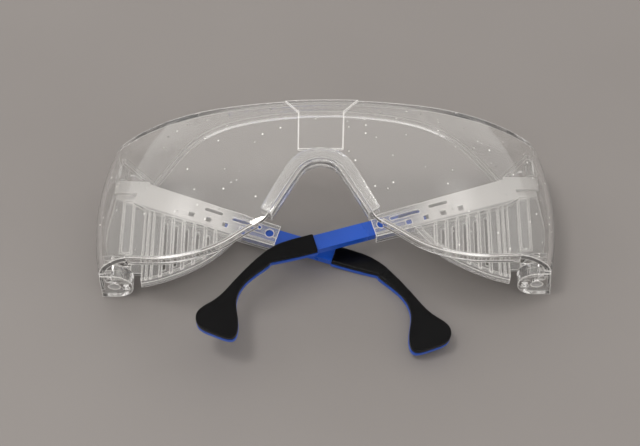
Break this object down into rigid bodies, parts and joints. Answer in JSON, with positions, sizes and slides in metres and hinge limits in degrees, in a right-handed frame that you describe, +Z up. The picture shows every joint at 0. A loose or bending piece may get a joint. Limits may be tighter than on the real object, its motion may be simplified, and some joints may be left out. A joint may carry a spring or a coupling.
{
  "type": "over-the-glass safety spectacles",
  "caption": "Clear wraparound safety spectacles worn over prescription glasses, with vented side shields, a soft nose piece and blue extending temple arms with rubber ear tips, folded shut.",
  "frame": {"origin": "centre of the bounding box's bottom face, on the surface that the folded spectacles lie on", "axes": "+X towards the wearer's right temple, +Y towards the brow, +Z up, which is the way the lens faces"},
  "size_m": [0.1532, 0.0728, 0.0561],
  "materials": {
    "clear_polycarbonate": "polished clear moulded polycarbonate",
    "clear_temple": "clear moulded polycarbonate with ribs",
    "clear_soft_vinyl": "soft clear vinyl, slightly cloudy",
    "clear_pin": "clear moulded pin",
    "blue_polymer": "smooth satin blue",
    "black_rubber": "soft satin black"
  },
  "bodies": {
    "front": {"lens": "clear_polycarbonate", "nose_bridge": "clear_soft_vinyl", "upper_hinge_pin_left": "clear_pin", "upper_hinge_pin_right": "clear_pin", "lower_hinge_pin_left": "clear_pin", "lower_hinge_pin_right": "clear_pin"},
    "temple_body_left": {"temple_left": "clear_temple"},
    "temple_body_right": {"temple_right": "clear_temple"},
    "arm_body_left": {"arm_left": "blue_polymer", "ear_pad_left": "black_rubber"},
    "arm_body_right": {"arm_right": "blue_polymer", "ear_pad_right": "black_rubber"}
  },
  "joints": [
    {"name": "temple_fold_right", "type": "hinge", "parent": "front", "child": "temple_body_right", "pos_m": [0.0693, 0.01023, 0.01014], "axis": [0, -0.9938, -0.1115], "range_deg": [0, 86]},
    {"name": "temple_fold_left", "type": "hinge", "parent": "front", "child": "temple_body_left", "pos_m": [-0.0693, 0.01023, 0.01014], "axis": [0, 0.9938, 0.1115], "range_deg": [0, 93.75]},
    {"name": "arm_slide_right", "type": "slide", "parent": "temple_body_right", "child": "arm_body_right", "axis": [0.9572, 0.2893, -0.0012], "range_m": [0, 0.018]},
    {"name": "arm_slide_left", "type": "slide", "parent": "temple_body_left", "child": "arm_body_left", "axis": [-0.9542, 0.2763, 0.115], "range_m": [0, 0.018]}
  ],
  "couplings": [
    {"joint": "temple_fold_left", "follows": "temple_fold_right", "ratio": 1.09}
  ]
}
